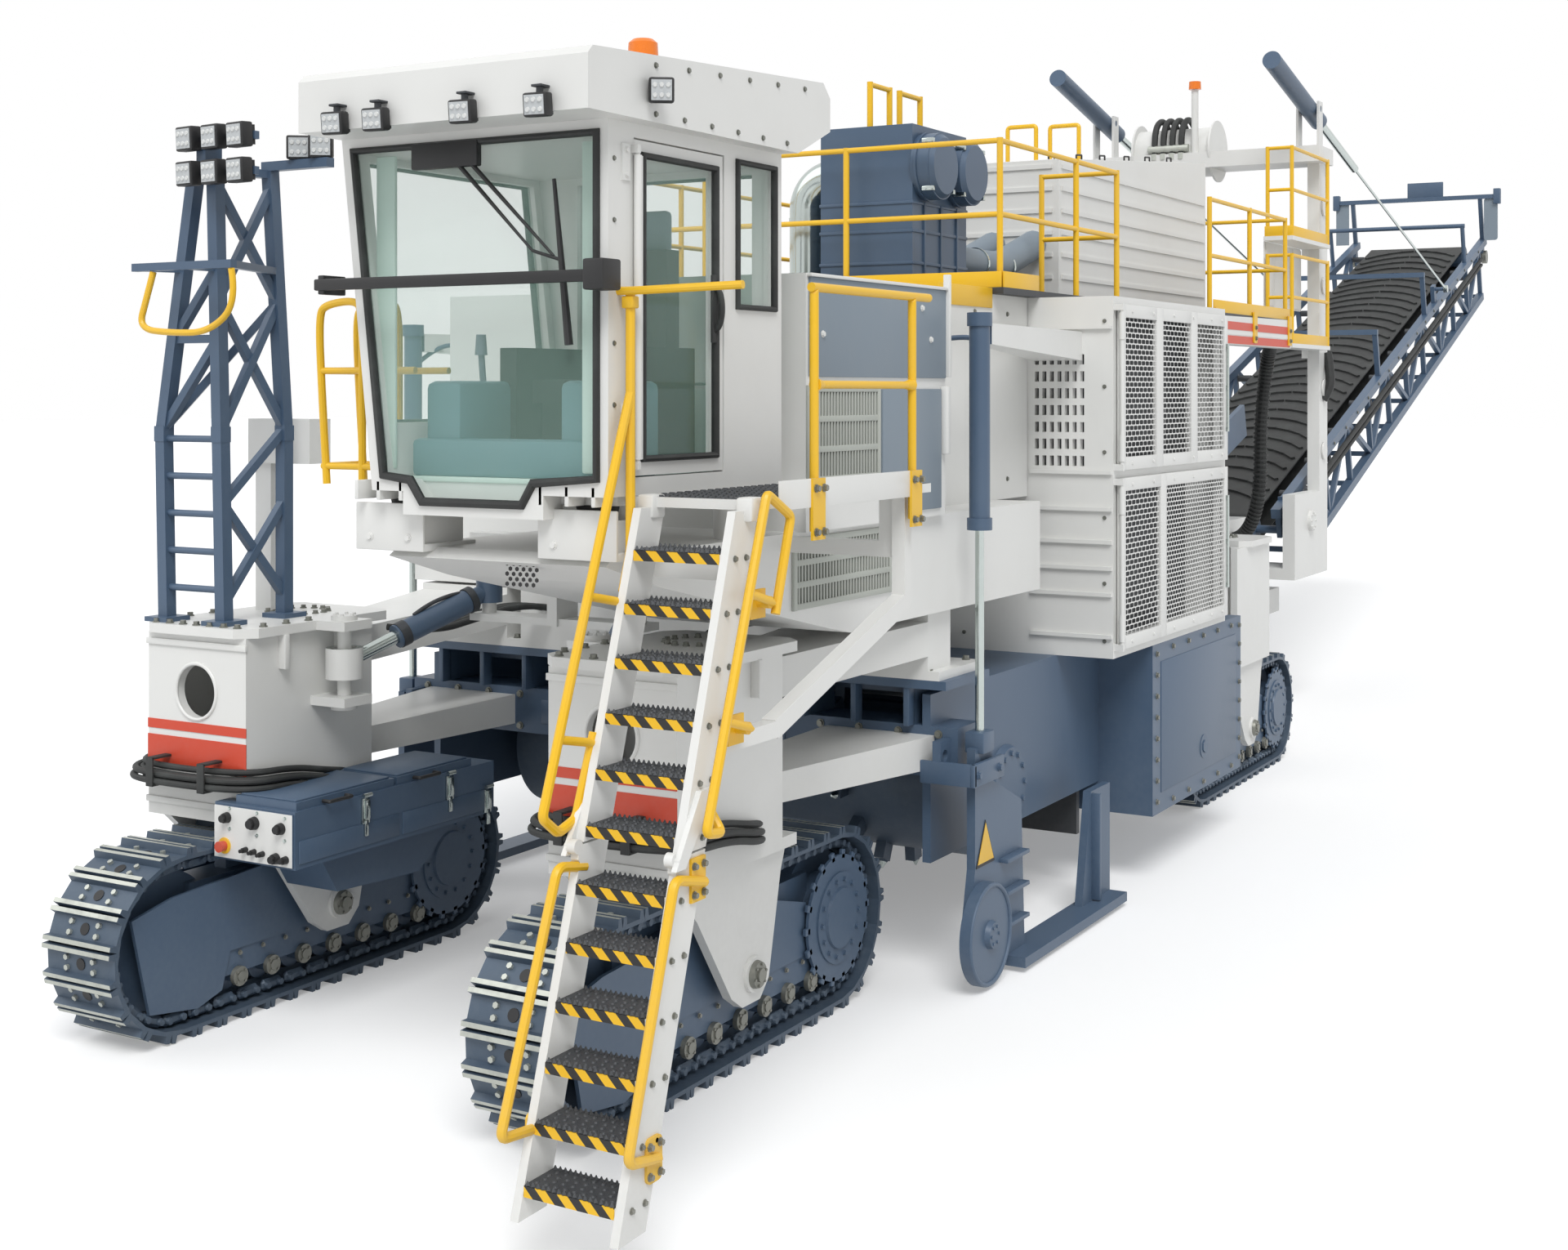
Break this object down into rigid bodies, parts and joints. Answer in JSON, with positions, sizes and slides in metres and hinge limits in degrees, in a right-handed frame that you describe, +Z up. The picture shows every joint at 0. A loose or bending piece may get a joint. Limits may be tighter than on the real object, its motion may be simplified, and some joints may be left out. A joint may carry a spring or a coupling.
{
  "type": "surface miner",
  "caption": "Surface miner on steered crawler tracks with a cutting drum under the frame, a raised cab with access ladder and a slewing, luffing discharge conveyor.",
  "frame": {"origin": "on the ground, on the machine's centre plane, under the axis of the cutting drum", "axes": "+X to the machine's left, +Y to its rear, so that its front faces -Y, +Z up"},
  "size_m": [5.793, 30.9572, 7.9918],
  "materials": {
    "white_paint": "satin paint, dusty",
    "blue_paint": "satin blue-grey paint",
    "yellow_paint": "gloss safety yellow",
    "dark_steel": "worn dark steel",
    "bright_steel": "polished",
    "rubber": "matt",
    "black_plastic": "matt",
    "glass": "clear, slightly green",
    "lamp": "lamp lens"
  },
  "bodies": {
    "chassis": {"lower_frame": "blue_paint", "upper_frame": "white_paint", "swing_arms": "white_paint", "leg_carriers": "white_paint", "power_housings": "white_paint", "service_deck": "dark_steel", "engine_hood": "white_paint", "engine": "dark_steel", "air_cleaner": "blue_paint", "intake_pipe": "bright_steel", "radiator_houses": "white_paint", "scraper_blade": "dark_steel", "plate_cylinders": "dark_steel", "cab_shell": "white_paint", "cab_glass": "glass", "cab_roof": "white_paint", "cab_seat": "black_plastic", "cab_lamps": "lamp", "platform": "white_paint", "ladder_upper": "white_paint", "platform_rails": "yellow_paint", "deck_rails": "yellow_paint", "primary_conveyor": "blue_paint"},
    "drum": {"cutting_drum": "dark_steel"},
    "cab_door": {"cab_door": "white_paint", "cab_door_glass": "glass"},
    "folding_ladder": {"ladder_lower": "white_paint", "ladder_lower_rails": "yellow_paint"},
    "gantry": {"slew_gantry": "white_paint", "gantry_rails": "yellow_paint"},
    "luff_barrels": {"luff_barrels": "blue_paint"},
    "luff_stays": {"luff_stays": "bright_steel"},
    "conveyor": {"conveyor_frame": "blue_paint", "conveyor_belt": "rubber"},
    "crawler_front_left": {"leg_front_left": "white_paint", "track_frame_front_left": "blue_paint", "track_front_left": "dark_steel"},
    "crawler_front_right": {"leg_front_right": "white_paint", "track_frame_front_right": "blue_paint", "track_front_right": "dark_steel", "light_mast": "blue_paint", "mast_lamps": "lamp", "control_box": "blue_paint"},
    "crawler_rear_left": {"leg_rear_left": "white_paint", "track_frame_rear_left": "blue_paint", "track_rear_left": "dark_steel"},
    "crawler_rear_right": {"leg_rear_right": "white_paint", "track_frame_rear_right": "blue_paint", "track_rear_right": "dark_steel"},
    "steer_barrel_left": {"steer_barrel_left": "dark_steel"},
    "steer_rod_left": {"steer_rod_left": "bright_steel"},
    "side_plate_left": {"side_plate_left": "blue_paint"},
    "radiator_door_lower_left": {"radiator_door_lower_left": "white_paint"},
    "radiator_door_upper_left": {"radiator_door_upper_left": "white_paint"},
    "steer_barrel_right": {"steer_barrel_right": "dark_steel"},
    "steer_rod_right": {"steer_rod_right": "bright_steel"},
    "side_plate_right": {"side_plate_right": "blue_paint"},
    "radiator_door_lower_right": {"radiator_door_lower_right": "white_paint"},
    "radiator_door_upper_right": {"radiator_door_upper_right": "white_paint"}
  },
  "joints": [
    {"name": "drum_spin", "type": "hinge", "parent": "chassis", "child": "drum", "pos_m": [0, 0, 1.1], "axis": [1, 0, 0], "continuous": true},
    {"name": "steer_front_left", "type": "hinge", "parent": "chassis", "child": "crawler_front_left", "pos_m": [1.6, -3.3, 1.85], "axis": [0, 0, 1], "range_deg": [-15, 15]},
    {"name": "steer_front_right", "type": "hinge", "parent": "chassis", "child": "crawler_front_right", "pos_m": [-1.6, -3.3, 1.85], "axis": [0, 0, 1], "range_deg": [-15, 15]},
    {"name": "steer_rear_left", "type": "hinge", "parent": "chassis", "child": "crawler_rear_left", "pos_m": [1.75, 6.3, 1.85], "axis": [0, 0, 1], "range_deg": [-15, 15]},
    {"name": "steer_rear_right", "type": "hinge", "parent": "chassis", "child": "crawler_rear_right", "pos_m": [-1.75, 6.3, 1.85], "axis": [0, 0, 1], "range_deg": [-15, 15]},
    {"name": "steer_barrel_swing_left", "type": "hinge", "parent": "chassis", "child": "steer_barrel_left", "pos_m": [0.62, -2.48, 2.6], "axis": [0, 0, 1], "range_deg": [-8, 8]},
    {"name": "steer_rod_stroke_left", "type": "slide", "parent": "steer_barrel_left", "child": "steer_rod_left", "axis": [0.3277, -0.8796, -0.3449], "range_m": [-0.2, 0.2]},
    {"name": "steer_barrel_swing_right", "type": "hinge", "parent": "chassis", "child": "steer_barrel_right", "pos_m": [-0.62, -2.48, 2.6], "axis": [0, 0, 1], "range_deg": [-8, 8]},
    {"name": "steer_rod_stroke_right", "type": "slide", "parent": "steer_barrel_right", "child": "steer_rod_right", "axis": [-0.3277, -0.8796, -0.3449], "range_m": [-0.2, 0.2]},
    {"name": "side_plate_lift_left", "type": "slide", "parent": "chassis", "child": "side_plate_left", "axis": [0, 0, 1], "range_m": [0, 0.6]},
    {"name": "radiator_door_lower_left", "type": "hinge", "parent": "chassis", "child": "radiator_door_lower_left", "pos_m": [2.66, 1.03, 3.3], "axis": [0, 0, -1], "range_deg": [0, 110]},
    {"name": "radiator_door_upper_left", "type": "hinge", "parent": "chassis", "child": "radiator_door_upper_left", "pos_m": [2.66, 1.03, 3.3], "axis": [0, 0, -1], "range_deg": [0, 110]},
    {"name": "side_plate_lift_right", "type": "slide", "parent": "chassis", "child": "side_plate_right", "axis": [0, 0, 1], "range_m": [0, 0.6]},
    {"name": "radiator_door_lower_right", "type": "hinge", "parent": "chassis", "child": "radiator_door_lower_right", "pos_m": [-2.66, 1.03, 3.3], "axis": [0, 0, 1], "range_deg": [0, 110]},
    {"name": "radiator_door_upper_right", "type": "hinge", "parent": "chassis", "child": "radiator_door_upper_right", "pos_m": [-2.66, 1.03, 3.3], "axis": [0, 0, 1], "range_deg": [0, 110]},
    {"name": "cab_door", "type": "hinge", "parent": "chassis", "child": "cab_door", "pos_m": [2.378, -5.085, 4.38], "axis": [0, 0, -1], "range_deg": [0, 90]},
    {"name": "ladder_fold", "type": "hinge", "parent": "chassis", "child": "folding_ladder", "pos_m": [2.73, -5.72884, 1.865], "axis": [-1, 0, 0], "range_deg": [0, 100]},
    {"name": "conveyor_slew", "type": "hinge", "parent": "chassis", "child": "gantry", "pos_m": [0, 10.9, 1.6], "axis": [0, 0, 1], "range_deg": [-90, 90]},
    {"name": "conveyor_luff", "type": "hinge", "parent": "gantry", "child": "conveyor", "pos_m": [0, 11.2, 2.35], "axis": [1, 0, 0], "range_deg": [-14, 4]},
    {"name": "luff_barrel_swing", "type": "hinge", "parent": "gantry", "child": "luff_barrels", "pos_m": [0, 11.46, 7.51], "axis": [1, 0, 0], "range_deg": [-16, 6]},
    {"name": "luff_stay_stroke", "type": "slide", "parent": "luff_barrels", "child": "luff_stays", "axis": [0, 0.9769, -0.2139], "range_m": [-0.5, 1.3]}
  ],
  "couplings": [
    {"joint": "steer_barrel_swing_left", "follows": "steer_front_left", "ratio": -0.0321},
    {"joint": "steer_rod_stroke_left", "follows": "steer_front_left", "m_per_rad": 0.5853},
    {"joint": "steer_barrel_swing_right", "follows": "steer_front_right", "ratio": -0.0321},
    {"joint": "steer_rod_stroke_right", "follows": "steer_front_right", "m_per_rad": -0.5853},
    {"joint": "luff_barrel_swing", "follows": "conveyor_luff", "ratio": 0.8681},
    {"joint": "luff_stay_stroke", "follows": "conveyor_luff", "m_per_rad": -5.0021}
  ]
}
